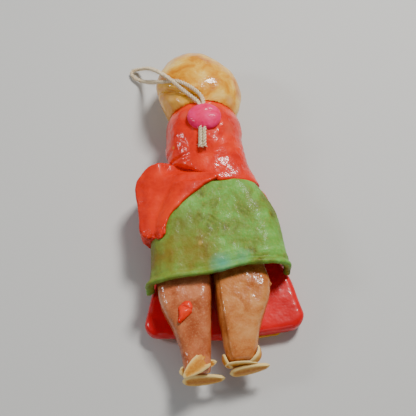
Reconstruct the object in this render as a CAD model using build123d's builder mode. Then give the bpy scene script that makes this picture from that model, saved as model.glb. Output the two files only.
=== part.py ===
"""Hand-modelled clay doll ornament with a twine hanging loop.

The doll lies on its front.  +X is its right-hand side as seen from behind, +Y runs from the feet to the
headpiece and +Z points out of its back.  The origin is on the table, under the middle of the doll.
All sizes are in millimetres.
"""

import os
from math import cos, pi, radians, sin, sqrt, tan

from build123d import *

os.makedirs("parts", exist_ok=True)

# ---------------------------------------------------------------- driving sizes
# Fits between pieces
seat_gap = 0.25  # between clay sheets pressed on each other
cord_gap = 0.12  # around the twine under its button
strand_gap = 0.15  # between the twine's two strands

# Skirt slab with its trim, the lowest layer of the doll
trim_thickness = 1.5
trim_width = 7.0
trim_overhang = 0.6
skirt_thickness = 6.5
skirt_length = 34.0
skirt_waist_width = 40.0
skirt_hem_width = 59.0
skirt_corner = 5.0
skirt_edge = 2.4
skirt_hem_y = -50.0

# Legs, side by side on the skirt
leg_depth = 11.0
ankle_depth = 9.0
leg_edge = 3.4
hip_y = -24.0
left_ankle_y = -62.6
right_ankle_y = -59.6
stick_diameter = 2.0

# Body under the cloak
back_step = 2.0  # how far the back stands above the legs
belly_z = 4.5

# Cloak sheet
cloak_sheet = 2.0
cloak_top_y = 3.5
cloak_hem_y = -31.0
cloak_hem_width = 51.0
cloak_shoulder_width = 34.0
cloak_fold = 9.0

# Head and scarf
head_width = 23.0
head_length = 25.0
head_depth = 20.0
head_x = -0.9
head_y = 26.8
head_z = 14.0
scarf_sheet = 3.2
face_opening_z = 8.5
neck_y = 18.2
face_width = 19.0
face_length = 21.0

# Headpiece
hat_width = 33.6
hat_depth = 27.0
hat_tilt = 8.0
hat_x = -1.0
hat_y = 47.4

# Twine and the button of clay that holds it
cord_diameter = 1.3
button_length = 12.6
button_width = 11.0
button_height = 2.6
button_x = -0.5
button_y = 28.3

# Seeds that make the shoes
seed_length = 14.6
seed_width = 7.2
seed_thickness = 2.2
seed_gap = 0.1  # of glue between a seed and what it sits on

# ---------------------------------------------------------------- sizes that follow
skirt_back = trim_thickness + skirt_thickness
leg_back = skirt_back + leg_depth
torso_back = leg_back + back_step
cloak_back = torso_back + seat_gap + cloak_sheet
cloak_foot = skirt_back + seat_gap
skirt_top_y = skirt_hem_y + skirt_length
cord_radius = cord_diameter / 2
strand_pitch = cord_diameter + strand_gap


def cross_plane(x, y, z):
    """A plane across the doll: its own axes are the doll's X and Z."""
    return Plane(origin=(x, y, z), x_dir=(1, 0, 0), z_dir=(0, -1, 0))


def keep_largest(builder):
    """Drops the crumbs that cutting two curved pieces from each other can leave."""
    add(builder.part.solids().sort_by(SortBy.VOLUME)[-1], mode=Mode.REPLACE)


def clay_ball(centre, size):
    """An ellipsoid of the given overall size, for a ball of clay pressed to shape."""
    with BuildPart() as ball:
        Sphere(0.5)
        scale(by=size)
    return ball.part.moved(Location(centre))


loaf_steps = 6  # rounds on each side of the middle
loaf_reach = 82  # degrees towards each pole


def clay_loaf(centre, size):
    """The same shape stacked from rounds along Y, with small flats for its two ends."""
    x, y, z = centre
    with BuildPart() as loaf:
        for step in range(-loaf_steps, loaf_steps + 1):
            angle = radians(loaf_reach) * step / loaf_steps
            with BuildSketch(cross_plane(x, y + size[1] / 2 * sin(angle), z)):
                Ellipse(size[0] / 2 * cos(angle), size[2] / 2 * cos(angle))
        loft()
    return loaf.part


# ---------------------------------------------------------------- skirt and trim
with BuildPart() as skirt:
    with BuildSketch(Plane.XY.offset(trim_thickness)):
        with BuildLine():
            Polyline(
                (-skirt_waist_width / 2, skirt_top_y),
                (skirt_waist_width / 2, skirt_top_y),
                (skirt_hem_width / 2, skirt_hem_y + 1.6),
                (0, skirt_hem_y - 0.2),
                (-skirt_hem_width / 2, skirt_hem_y + 3.2),
                close=True,
            )
        make_face()
    extrude(amount=skirt_thickness)
    corners = skirt.edges().filter_by(Axis.Z).filter_by(lambda e: abs(e.center().X) > skirt_waist_width / 4)
    fillet(corners, skirt_corner)
    rims = skirt.faces().filter_by(Axis.Z).edges()
    fillet(rims, skirt_edge)

skirt.part.label = "skirt"
export_step(skirt.part, "parts/skirt.step")

with BuildPart() as skirt_trim:
    with BuildSketch():
        with BuildLine():
            trim_half = skirt_hem_width / 2 - skirt_corner
            hem_arc = ThreePointArc(
                (-trim_half, skirt_hem_y + 2.2),
                (0, skirt_hem_y - trim_overhang),
                (trim_half, skirt_hem_y + 0.6),
            )
            Line(hem_arc @ 1, hem_arc @ 1 + Vector(-0.8, trim_width))
            ThreePointArc(
                hem_arc @ 1 + Vector(-0.8, trim_width),
                (0, skirt_hem_y - trim_overhang + trim_width),
                hem_arc @ 0 + Vector(0.8, trim_width),
            )
            Line(hem_arc @ 0 + Vector(0.8, trim_width), hem_arc @ 0)
        make_face()
    extrude(amount=trim_thickness)
    fillet(skirt_trim.edges().filter_by(Axis.Z), 1.5)

skirt_trim.part.label = "skirt_trim"
export_step(skirt_trim.part, "parts/skirt_trim.step")

# ---------------------------------------------------------------- toothpicks inside
# Each leg and the head are held by a toothpick pushed into the body.
left_stick_x = -11.4
right_stick_x = 5.6
stick_z = skirt_back + ankle_depth / 2


def stick(x, z, y_from, y_to):
    """A round stick along Y with softly pointed ends."""
    with BuildPart() as rod:
        with BuildSketch(cross_plane(x, y_to, z)):
            Circle(stick_diameter / 2)
        extrude(amount=y_to - y_from)
        chamfer(rod.edges().filter_by(GeomType.CIRCLE), stick_diameter * 0.3)
    return rod


left_leg_stick = stick(left_stick_x, stick_z, -54, -10)
left_leg_stick.part.label = "left_leg_stick"
export_step(left_leg_stick.part, "parts/left_leg_stick.step")

right_leg_stick = stick(right_stick_x, stick_z, -53, -10)
right_leg_stick.part.label = "right_leg_stick"
export_step(right_leg_stick.part, "parts/right_leg_stick.step")

neck_stick = stick(head_x, head_z, 0, head_y)
neck_stick.part.label = "neck_stick"
export_step(neck_stick.part, "parts/neck_stick.step")

# ---------------------------------------------------------------- legs
# Each leg is a flattened roll of clay: (y, left edge, right edge, depth).
left_leg_rows = [
    (hip_y, -21.2, -3.2, leg_depth),
    (-32, -22.0, -3.3, leg_depth),
    (-40.5, -20.8, -4.0, leg_depth),
    (-48.3, -17.4, -4.8, ankle_depth + 1),
    (-56, -15.4, -5.5, ankle_depth),
    (left_ankle_y, -14.9, -6.0, ankle_depth - 0.6),
]
right_leg_rows = [
    (hip_y, -2.4, 16.2, leg_depth),
    (-33.5, -2.3, 17.2, leg_depth),
    (-42, -1.9, 15.2, leg_depth),
    (-50, -1.3, 11.8, ankle_depth + 1),
    (-56, -0.9, 10.4, ankle_depth),
    (right_ankle_y, -0.4, 8.9, ankle_depth - 0.6),
]


def leg(rows, peg):
    """A flat-backed roll of clay that lies on the skirt and takes its toothpick."""
    with BuildPart() as limb:
        for y, left, right, depth in rows:
            with BuildSketch(cross_plane((left + right) / 2, y, skirt_back + depth / 2)):
                RectangleRounded(right - left, depth, leg_edge)
        loft()
        toe = limb.faces().sort_by(Axis.Y)[0]
        fillet(toe.edges(), 1.4)
        add(peg.part, mode=Mode.SUBTRACT)
    return limb


left_leg = leg(left_leg_rows, left_leg_stick)
left_leg.part.label = "left_leg"
export_step(left_leg.part, "parts/left_leg.step")

right_leg = leg(right_leg_rows, right_leg_stick)
right_leg.part.label = "right_leg"
export_step(right_leg.part, "parts/right_leg.step")

# ---------------------------------------------------------------- head and body
head_ball = clay_loaf((head_x, head_y, head_z), (head_width, head_length, head_depth))

with BuildPart() as head:
    add(head_ball)
    add(neck_stick.part, mode=Mode.SUBTRACT)

head.part.label = "head"
export_step(head.part, "parts/head.step")

# The body is wide and flat: (y, middle, half width, front, back).
torso_rows = [
    (neck_y, head_x, 7.0, head_z - 5, head_z + 5),
    (13, 0, 11.0, 7.0, torso_back - 1.5),
    (cloak_top_y, 0.3, 13.6, belly_z + 0.5, torso_back - 0.2),
    (-8, 0.3, 16.6, belly_z, torso_back),
    (hip_y, -1.5, 18.0, belly_z, torso_back - 0.2),
]

with BuildPart() as torso:
    for y, middle, half_width, front, back in torso_rows:
        with BuildSketch(cross_plane(middle, y, (front + back) / 2)):
            RectangleRounded(2 * half_width, back - front, (back - front) * 0.42)
    loft()
    for neighbour in (head, skirt, neck_stick, left_leg_stick, right_leg_stick):
        add(neighbour.part, mode=Mode.SUBTRACT)

torso.part.label = "torso"
export_step(torso.part, "parts/torso.step")

# ---------------------------------------------------------------- cloak
# A rolled-out sheet bent over the back: (y, half width, corner radius) of its outer face.
cloak_x = 0.2
cloak_rows = [
    (cloak_top_y, cloak_shoulder_width / 2, cloak_fold),
    (-1, cloak_shoulder_width / 2 + 2.6, cloak_fold),
    (-8, cloak_shoulder_width / 2 + 5.3, cloak_fold),
    (-16, cloak_shoulder_width / 2 + 6.7, cloak_fold),
    (-24, cloak_hem_width / 2 - 1.1, cloak_fold),
    (cloak_hem_y, cloak_hem_width / 2, cloak_fold),
]


def cloak_body(inset):
    """The closed shape inside the cloak's outer face, smaller by inset on every side."""
    with BuildPart() as body:
        for y, half_width, corner in cloak_rows:
            with BuildSketch(cross_plane(cloak_x, y, 0)):
                RectangleRounded(2 * (half_width - inset), 2 * (cloak_back - inset), corner - inset)
        loft()
    return body


cloak_outside = cloak_body(0)
cloak_inside = cloak_body(cloak_sheet)

with BuildPart() as cloak:
    add(cloak_outside.part)
    add(cloak_inside.part, mode=Mode.SUBTRACT)
    with BuildSketch(Plane.YZ.offset(-cloak_hem_width)):
        Polygon(
            (cloak_hem_y - 5, cloak_foot),
            (-16, cloak_foot),
            (cloak_top_y + 1, cloak_foot + 5),
            (cloak_top_y + 1, -cloak_back - 5),
            (cloak_hem_y - 5, -cloak_back - 5),
            align=None,
        )
    extrude(amount=2 * cloak_hem_width, mode=Mode.SUBTRACT)

cloak.part.label = "cloak"
export_step(cloak.part, "parts/cloak.step")

# ---------------------------------------------------------------- head scarf
# One sheet wraps the head and runs down over the back to the top of the cloak.
drape_end_y = cloak_top_y + 0.3
scarf_ball = clay_loaf(
    (head_x, head_y, head_z),
    (head_width + 2 * scarf_sheet, head_length + 2 * scarf_sheet, head_depth + 2 * scarf_sheet),
)
drape_rows = [
    (neck_y, head_x, 15.0, 11.6),
    (12, 0.3, 15.0, 10.6),
    (drape_end_y, 3.4, 15.3, 9.4),
]
crease_start = (-17.2, 16.2)
crease_end = (3.0, drape_end_y)

with BuildPart() as head_scarf:
    add(scarf_ball)
    with BuildSketch(Plane.XY.offset(face_opening_z)):
        with Locations((head_x, head_y)):
            Rectangle(face_width, face_length)
    extrude(amount=-2 * face_opening_z, mode=Mode.SUBTRACT)
    with BuildSketch():
        with Locations((head_x, neck_y - head_length / 2)):
            Rectangle(2 * head_width, head_length)
    extrude(amount=2 * head_depth, mode=Mode.SUBTRACT)
    add(head_ball, mode=Mode.SUBTRACT)

head_scarf.part.label = "head_scarf"
export_step(head_scarf.part, "parts/head_scarf.step")

with BuildPart() as scarf_drape:
    for y, middle, half_width, half_depth in drape_rows:
        with BuildSketch(cross_plane(middle, y, head_z - (neck_y - y) * 0.05)):
            Ellipse(half_width, half_depth)
    loft()
    with BuildSketch():
        Polygon(crease_start, crease_end, (crease_start[0], drape_end_y), align=None)
    extrude(amount=2 * head_depth, mode=Mode.SUBTRACT)
    for neighbour in (head, torso):
        add(neighbour.part, mode=Mode.SUBTRACT)
    keep_largest(scarf_drape)

scarf_drape.part.label = "scarf_drape"
export_step(scarf_drape.part, "parts/scarf_drape.step")

# ---------------------------------------------------------------- headpiece
# Rows along the tilted axis: (distance, sideways shift, half width).
hat_stem_rows = [(-13.4, 1.2, 12.0), (-9.5, 1.0, 14.0), (-5.8, 0.7, 15.6), (-3.0, 0.4, 16.4)]
hat_dome_rows = [
    (-3.0, 0.4, 16.4),
    (0.0, 0.0, 16.8),
    (4.0, -0.6, 16.2),
    (8.0, -1.4, 14.4),
    (12.0, -2.7, 11.4),
    (15.0, -3.4, 7.6),
    (17.0, -3.6, 3.2),
]
hat_origin = Vector(hat_x, hat_y, hat_depth / 2)
hat_axis = Vector(sin(radians(hat_tilt)), cos(radians(hat_tilt)), 0)
hat_side = Vector(cos(radians(hat_tilt)), -sin(radians(hat_tilt)), 0)


def hat_loft(rows):
    """Flattened rounds stacked along the headpiece's axis."""
    with BuildPart() as body:
        for distance, shift, half_width in rows:
            middle = hat_origin + hat_axis * distance + hat_side * shift
            with BuildSketch(Plane(origin=middle, x_dir=hat_side, z_dir=-hat_axis)):
                Ellipse(half_width, half_width * hat_depth / hat_width)
        loft()
    return body


hat_stem_loft = hat_loft(hat_stem_rows)
hat_dome_loft = hat_loft(hat_dome_rows)

with BuildPart() as hat_base:
    add(hat_stem_loft.part)
    add(scarf_ball, mode=Mode.SUBTRACT)

hat_base.part.label = "hat_base"
export_step(hat_base.part, "parts/hat_base.step")

with BuildPart() as hat_crown:
    add(hat_dome_loft.part)
    add(scarf_ball, mode=Mode.SUBTRACT)

hat_crown.part.label = "hat_crown"
export_step(hat_crown.part, "parts/hat_crown.step")

# ---------------------------------------------------------------- face
# Small pellets pressed on the front of the head, so their backs follow it.
face_z = head_z - head_depth / 2


def face_z_at(x, y):
    """Height of the head's front above the table, x and y from the head's middle."""
    return head_z - head_depth / 2 * sqrt(1 - (2 * x / head_width) ** 2 - (2 * y / head_length) ** 2)


nose_ball = clay_ball((head_x, head_y - 0.5, face_z + 0.4), (3.4, 5.0, 4.6))
with BuildPart() as nose:
    add(nose_ball)
    add(head_ball, mode=Mode.SUBTRACT)

nose.part.label = "nose"
export_step(nose.part, "parts/nose.step")

eye_spread = 3.9
eye_height = 1.6
eye_z = face_z_at(eye_spread, eye_height) + 0.2
eye_balls = [
    clay_ball((head_x + side * eye_spread, head_y + eye_height, eye_z), (3.2, 2.2, 1.8))
    for side in (-1, 1)
]
with BuildPart() as eyes:
    for eye_ball in eye_balls:
        add(eye_ball)
    add(head_ball, mode=Mode.SUBTRACT)

eyes.part.label = "eyes"
export_step(eyes.part, "parts/eyes.step")

mouth_drop = -5.2
lip_ball = clay_ball((head_x, head_y + mouth_drop, face_z_at(0, mouth_drop) + 0.2), (4.6, 1.9, 1.8))
with BuildPart() as lips:
    add(lip_ball)
    add(head_ball, mode=Mode.SUBTRACT)

lips.part.label = "lips"
export_step(lips.part, "parts/lips.step")

# ---------------------------------------------------------------- sleeves and hand
sleeve_back = cloak_back + 0.6
sleeve_front = 8.5
sleeve_slope = 13.0

with BuildPart() as left_sleeve:
    with BuildSketch(Plane.XY.offset(sleeve_front)):
        with BuildLine():
            sleeve_outer = Spline(
                (-16.6, 15.8),
                (-22.0, 15.2),
                (-27.2, 10.6),
                (-28.0, 3.6),
                (-27.2, -5.4),
                (-26.8, -12.4),
                (-24.6, -15.2),
            )
            Line(sleeve_outer @ 1, (-19.4, -15.4))
            Spline((-19.4, -15.4), (-17.5, -11.5), (-14.8, -5.6), (-6.5, 1.2), crease_end)
            Line(crease_end, sleeve_outer @ 0)
        make_face()
    extrude(amount=sleeve_back - sleeve_front)
    # the back of the sleeve falls away towards its outer edge
    with BuildSketch(Plane.XZ.offset(-2 * head_length)):
        Polygon(
            (crease_end[0], sleeve_back),
            (crease_end[0], sleeve_back + 20),
            (-40, sleeve_back + 20),
            (-40, sleeve_back - (40 + crease_end[0]) * tan(radians(sleeve_slope))),
            align=None,
        )
    extrude(amount=4 * head_length, mode=Mode.SUBTRACT)
    fillet(left_sleeve.edges().filter_by(lambda e: e.center().X < -19).group_by(Axis.Z)[-1], 2.0)
    for neighbour in (cloak, torso, scarf_drape, left_leg):
        add(neighbour.part, mode=Mode.SUBTRACT)
    keep_largest(left_sleeve)

left_sleeve.part.label = "left_sleeve"
export_step(left_sleeve.part, "parts/left_sleeve.step")

forearm_front = 1.2
forearm_back = 12.5
with BuildPart() as right_sleeve:
    with BuildSketch(Plane.XY.offset(forearm_front)):
        with BuildLine():
            forearm_outer = Spline((18.6, drape_end_y), (20.6, 0.5), (20.2, -7.0), (14.5, -13.6), (5.5, -14.6))
            Line(forearm_outer @ 1, (4.2, -8.2))
            forearm_inner = Spline((4.2, -8.2), (9.5, -5.6), (10.5, drape_end_y))
            Line(forearm_inner @ 1, forearm_outer @ 0)
        make_face()
    extrude(amount=forearm_back - forearm_front)
    for neighbour in (cloak, torso, scarf_drape):
        add(neighbour.part, mode=Mode.SUBTRACT)
    keep_largest(right_sleeve)

right_sleeve.part.label = "right_sleeve"
export_step(right_sleeve.part, "parts/right_sleeve.step")

palm_ball = clay_ball((1.6, -11.4, 3.4), (7.0, 6.4, 3.6))
with BuildPart() as right_hand:
    add(palm_ball)
    for neighbour in (right_sleeve, torso):
        add(neighbour.part, mode=Mode.SUBTRACT)

right_hand.part.label = "right_hand"
export_step(right_hand.part, "parts/right_hand.step")

# ---------------------------------------------------------------- clay dab stuck on the left leg
dab_ball = clay_ball((0, 0, 0), (5.0, 8.6, 2.2)).rotate(Axis.Z, -28)
with BuildPart() as clay_dab:
    add(dab_ball.moved(Location((-13.4, -42.6, leg_back - 0.1))))
    add(left_leg.part, mode=Mode.SUBTRACT)

clay_dab.part.label = "clay_dab"
export_step(clay_dab.part, "parts/clay_dab.step")

# ---------------------------------------------------------------- seeds of the shoes
# A flat melon seed is pointed at one end; its broad faces bulge a little.


def seed(length, width, thickness):
    """One seed along X, its point at +X and its middle at the origin."""
    with BuildPart() as body:
        with BuildSketch():
            with BuildLine():
                Spline(
                    (length * 0.5, 0),
                    (length * 0.25, width * 0.34),
                    (-length * 0.1, width * 0.5),
                    (-length * 0.4, width * 0.33),
                    (-length * 0.5, 0),
                )
                Line((-length * 0.5, 0), (length * 0.5, 0))
            make_face()
        revolve(axis=Axis.X)
        scale(by=(1, 1, thickness / width))
    return body.part


def sole_place(x, y, z, turn, lean):
    """Stands a seed across the foot: turned about Z, its lower edge leaning away from the leg."""
    return Location((x, y, z)) * Location((0, 0, 0), (0, 0, turn)) * Location((0, 0, 0), (90 - lean, 0, 0))


left_sole = seed(seed_length, seed_width, seed_thickness).moved(
    sole_place(-8.6, left_ankle_y - seed_thickness / 2 - seed_gap, 9.2, 0, 6)
)
with BuildPart() as left_sole_seed:
    add(left_sole)

left_sole_seed.part.label = "left_sole_seed"
export_step(left_sole_seed.part, "parts/left_sole_seed.step")

heel_seed_length = 10.6
heel_seed_width = 5.2
heel_seed_thickness = 1.8
left_heel_back = skirt_back + ankle_depth - 0.5
left_heel = seed(heel_seed_length, heel_seed_width, heel_seed_thickness).moved(
    Location((-10.2, -60.4, left_heel_back + heel_seed_thickness * 0.3), (0, 0, 215))
)
with BuildPart() as left_heel_seed:
    add(left_heel)
    with BuildSketch(Plane.XY):
        with Locations((-5.6, -57.2)):
            Rectangle(3, 8, rotation=35)
    extrude(amount=2 * leg_back, mode=Mode.SUBTRACT)
    for neighbour in (left_leg, left_sole_seed):
        add(neighbour.part, mode=Mode.SUBTRACT)
    keep_largest(left_heel_seed)

left_heel_seed.part.label = "left_heel_seed"
export_step(left_heel_seed.part, "parts/left_heel_seed.step")

wrap_thickness = 1.5


def wrap_band(rows, y_low, y_high):
    """A band round an ankle, outside the leg, from which a bent seed is cut."""
    low_row = rows[-1]
    middle = (low_row[1] + low_row[2]) / 2
    width = rows[-2][2] - rows[-2][1] + 2 * wrap_thickness
    with BuildPart() as band:
        with BuildSketch(cross_plane(middle, y_high, skirt_back + ankle_depth / 2)):
            RectangleRounded(width, ankle_depth + 2 * wrap_thickness, leg_edge + wrap_thickness)
        extrude(amount=y_high - y_low)
    return band


left_band = wrap_band(left_leg_rows, left_ankle_y, left_ankle_y + 5.4)
with BuildPart() as left_instep_seed:
    add(left_band.part)
    with BuildSketch(Plane.YZ.offset(-20)):
        with Locations((left_ankle_y + 2.6, skirt_back + 1.0)):
            Ellipse(2.6, 6.4)
    extrude(amount=20, mode=Mode.INTERSECT)
    for neighbour in (left_leg, left_sole_seed, left_heel_seed):
        add(neighbour.part, mode=Mode.SUBTRACT)
    keep_largest(left_instep_seed)

left_instep_seed.part.label = "left_instep_seed"
export_step(left_instep_seed.part, "parts/left_instep_seed.step")

insole_thickness = 1.3
insole_y = right_ankle_y - insole_thickness / 2 - seed_gap
right_insole = seed(10.4, 7.6, insole_thickness).moved(sole_place(4.4, insole_y, 12.2, 0, 0))
with BuildPart() as right_heel_seed:
    add(right_insole)

right_heel_seed.part.label = "right_heel_seed"
export_step(right_heel_seed.part, "parts/right_heel_seed.step")

right_sole_y = insole_y - insole_thickness / 2 - seed_thickness / 2 - 2 * seed_gap
right_sole = seed(seed_length - 0.8, seed_width - 0.8, seed_thickness).moved(
    sole_place(7.2, right_sole_y, 10.0, 7, 6)
)
with BuildPart() as right_sole_seed:
    add(right_sole)

right_sole_seed.part.label = "right_sole_seed"
export_step(right_sole_seed.part, "parts/right_sole_seed.step")

right_band = wrap_band(right_leg_rows, right_ankle_y - 0.6, right_ankle_y + 4.6)
right_middle = (right_leg_rows[-1][1] + right_leg_rows[-1][2]) / 2


def right_wrap(side, lens_y, lens_z, lens_turn):
    """One bent seed on the given side (+1 outer, -1 inner) of the right ankle."""
    with BuildPart() as bent:
        add(right_band.part)
        with BuildSketch(Plane.YZ.offset(right_middle + side * 0.4)):
            with Locations((lens_y, lens_z)):
                Ellipse(2.4, 6.2, rotation=lens_turn)
        extrude(amount=side * 20, mode=Mode.INTERSECT)
        for neighbour in (right_leg, right_heel_seed, right_sole_seed):
            add(neighbour.part, mode=Mode.SUBTRACT)
        keep_largest(bent)
    return bent


right_outer_seed = right_wrap(1, right_ankle_y + 1.8, skirt_back + 5.5, -14)
right_outer_seed.part.label = "right_outer_seed"
export_step(right_outer_seed.part, "parts/right_outer_seed.step")

right_inner_seed = right_wrap(-1, right_ankle_y + 1.2, skirt_back + 5.0, -6)
right_inner_seed.part.label = "right_inner_seed"
export_step(right_inner_seed.part, "parts/right_inner_seed.step")

# ---------------------------------------------------------------- twine
# Both cut ends lie on the scarf and run up under the clay button; the loop starts at its upper edge.
pivot_y = 34.7
pivot_z = 26.15
loop_root_a = (-0.1, pivot_y, pivot_z)
loop_root_b = (loop_root_a[0] - strand_pitch, pivot_y, pivot_z)
root_gap = cord_radius + 0.1
tail_route = [
    (-0.35, pivot_y - root_gap, pivot_z + 0.4),
    (-0.5, 31.4, 27.55),
    (-0.75, 26.9, 28.1),
    (-0.95, 22.2, 27.55),
    (-1.35, 18.6, 26.9),
    (-1.5, 16.2, 26.1),
]
loop_route = [
    loop_root_a,
    (-1.9, 40.0, 26.8),
    (-6.5, 44.3, 27.1),
    (-10.9, 49.8, 26.1),
    (-14.2, 55.1, 22.3),
    (-16.8, 59.6, 16.6),
    (-20.2, 63.9, 10.5),
    (-24.6, 67.4, 4.6),
    (-28.4, 68.2, 1.5),
    (-29.0, 65.6, 0.8),
    (-26.2, 63.4, 1.9),
    (-22.4, 61.0, 6.6),
    (-19.7, 57.0, 12.9),
    (-18.0, 52.7, 18.8),
    (-14.8, 49.2, 23.6),
    (-11.9, 47.4, 25.5),
    (-8.5, 44.0, 26.7),
    (-5.0, 38.9, 26.5),
    loop_root_b,
]


def bend_radii(points):
    """The largest arc that each corner's two runs leave room for."""
    spots = [Vector(*point) for point in points]
    radii = []
    for before, here, after in zip(spots, spots[1:], spots[2:]):
        turn = (here - before).get_angle(after - here)
        shorter = min((here - before).length, (after - here).length)
        radii.append(0.45 * shorter / tan(radians(turn / 2)))
    return radii


def twine(points, radius):
    """A round tube along straight runs joined by tangent arcs."""
    radii = bend_radii(points)
    with BuildPart() as tube:
        with BuildLine() as route:
            FilletPolyline(*points, radius=radii)
        start = route.line @ 0
        with BuildSketch(Plane(origin=start, z_dir=route.line % 0)):
            Circle(radius)
        sweep()
    length = sum(edge.length for edge in route.edges())
    ratio = tube.part.volume / (length * pi * radius**2)
    print("twine radii", [round(r, 1) for r in radii])
    print("length", round(length, 1), "volume ratio", round(ratio, 4))
    return tube


def shifted(points, dx):
    return [(x + dx, y, z) for x, y, z in points]


tail_a = twine(tail_route, cord_radius)
tail_b = twine(shifted(tail_route, -strand_pitch), cord_radius)

with BuildPart() as cord_tails:
    add(tail_a.part)
    add(tail_b.part)

cord_tails.part.label = "cord_tails"
export_step(cord_tails.part, "parts/cord_tails.step")

loop_tube = twine(loop_route, cord_radius)
with BuildPart() as cord_loop:
    add(loop_tube.part)
    with Locations(loop_root_a, loop_root_b):
        Sphere(cord_radius)

cord_loop.part.label = "cord_loop"
export_step(cord_loop.part, "parts/cord_loop.step")

# ---------------------------------------------------------------- button over the twine
button_z = head_z + head_depth / 2 + scarf_sheet - 0.1
button_ball = clay_ball((button_x, button_y, button_z), (button_length, button_width, 2 * button_height))
strand_cover = cord_radius + cord_gap
with BuildPart() as cord_button:
    add(button_ball)
    add(scarf_ball, mode=Mode.SUBTRACT)
    # one passage for both strands, its roof following them
    with BuildSketch(Plane.YZ.offset(tail_route[0][0] + strand_cover)):
        Polygon(
            (pivot_y + 2, pivot_z + strand_cover),
            *[(y, z + strand_cover) for x, y, z in tail_route[:4]],
            (tail_route[3][1], head_z),
            (pivot_y + 2, head_z),
            align=None,
        )
    extrude(amount=-(strand_pitch + 2 * strand_cover + 0.8), mode=Mode.SUBTRACT)
    keep_largest(cord_button)

cord_button.part.label = "cord_button"
export_step(cord_button.part, "parts/cord_button.step")
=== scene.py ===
"""A varnished dough folk doll with a twine hanging loop, lying face down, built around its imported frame."""

from math import cos, exp, pi, radians, sin, sqrt

import bmesh
import bpy
from mathutils import Matrix, Vector, noise


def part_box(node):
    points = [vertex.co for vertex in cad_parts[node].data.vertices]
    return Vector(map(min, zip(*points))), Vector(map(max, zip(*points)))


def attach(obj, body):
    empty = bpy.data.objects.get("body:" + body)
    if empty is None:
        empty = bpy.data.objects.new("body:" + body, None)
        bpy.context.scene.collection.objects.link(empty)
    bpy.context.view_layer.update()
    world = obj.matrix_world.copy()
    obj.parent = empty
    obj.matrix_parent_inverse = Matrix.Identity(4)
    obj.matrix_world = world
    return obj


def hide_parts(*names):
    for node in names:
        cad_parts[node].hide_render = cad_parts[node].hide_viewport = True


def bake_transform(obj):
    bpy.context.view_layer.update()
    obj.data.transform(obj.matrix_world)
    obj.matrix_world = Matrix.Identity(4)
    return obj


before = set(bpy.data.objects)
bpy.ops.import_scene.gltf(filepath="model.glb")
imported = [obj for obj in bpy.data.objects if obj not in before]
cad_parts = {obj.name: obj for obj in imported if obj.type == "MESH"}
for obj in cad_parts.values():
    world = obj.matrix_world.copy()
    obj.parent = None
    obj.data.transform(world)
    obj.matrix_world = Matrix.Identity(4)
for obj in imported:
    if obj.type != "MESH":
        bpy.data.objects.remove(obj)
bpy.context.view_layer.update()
MM = 0.001

# ------------------------------------------------------------ camera, light and floor
# The doll lies on its front and is looked down on from the foot end, under a window to its upper right.
view_turn = radians(-5)
view_height = radians(66)
view_distance = 255 * MM
view_target = Vector((-1.7, -1.1, 10.0)) * MM
view_back = Vector(
    (sin(view_turn) * cos(view_height), -cos(view_turn) * cos(view_height), sin(view_height))
)

camera_data = bpy.data.cameras.new("camera")
camera_data.angle = radians(34)
camera_data.clip_start = 0.01
camera = bpy.data.objects.new("camera", camera_data)
camera.location = view_target + view_back * view_distance
camera.rotation_euler = view_back.to_track_quat("Z", "Y").to_euler()
bpy.context.collection.objects.link(camera)
bpy.context.scene.camera = camera


def area_light(name, place, size, power, colour):
    """A soft box that faces the middle of the doll."""
    data = bpy.data.lights.new(name, "AREA")
    data.size = size
    data.energy = power
    data.color = colour
    light = bpy.data.objects.new(name, data)
    light.location = place
    light.rotation_euler = Vector(place).to_track_quat("Z", "Y").to_euler()
    bpy.context.collection.objects.link(light)


area_light("window", (0.20, 0.24, 0.48), size=0.12, power=3.5, colour=(1.0, 0.98, 0.95))
area_light("side_window", (-0.48, 0.06, 0.36), size=0.1, power=0.8, colour=(0.95, 0.97, 1.0))
area_light("front_fill", (0.1, -0.6, 0.3), size=0.4, power=0.5, colour=(1.0, 0.99, 0.97))

world = bpy.data.worlds.new("studio")
world.use_nodes = True
world.node_tree.nodes["Background"].inputs["Color"].default_value = (0.8, 0.83, 0.88, 1)
world.node_tree.nodes["Background"].inputs["Strength"].default_value = 0.2
bpy.context.scene.world = world


def hex_linear(code):
    """An sRGB hex colour as the linear RGBA that a shader socket takes."""
    channels = [int(code[i : i + 2], 16) / 255 for i in (0, 2, 4)]
    return tuple(c / 12.92 if c <= 0.04045 else ((c + 0.055) / 1.055) ** 2.4 for c in channels) + (1.0,)


def put(tree, kind, inputs=None, stops=(), **settings):
    """Adds a node with its settings.  An input is a value or another node's output, and the stops are a
    colour ramp's, each a position and a hex colour."""
    made = tree.nodes.new(kind)
    for name, value in settings.items():
        setattr(made, name, value)
    for name, value in (inputs or {}).items():
        if isinstance(value, bpy.types.NodeSocket):
            tree.links.new(value, made.inputs[name])
        else:
            made.inputs[name].default_value = value
    for _ in stops[2:]:
        made.color_ramp.elements.new(0.5)
    for index, (position, code) in enumerate(stops):
        made.color_ramp.elements[index].position = position
        made.color_ramp.elements[index].color = hex_linear(code)
    return made


def new_material(name):
    """A material with only its Principled shader and output."""
    material = bpy.data.materials.new(name)
    material.use_nodes = True
    return material, material.node_tree, material.node_tree.nodes["Principled BSDF"]


# A sheet of pale backdrop paper: even, matt and just off white.
floor_mesh = bpy.data.meshes.new("floor")
floor_mesh.from_pydata([(-3, -3, 0), (3, -3, 0), (3, 3, 0), (-3, 3, 0)], [], [(0, 1, 2, 3)])
floor = bpy.data.objects.new("floor", floor_mesh)
bpy.context.collection.objects.link(floor)
floor_paper, tree, shader = new_material("pale_backdrop_paper")
shader.inputs["Base Color"].default_value = hex_linear("CFCFCC")
shader.inputs["Roughness"].default_value = 0.75
floor.data.materials.append(floor_paper)

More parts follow.
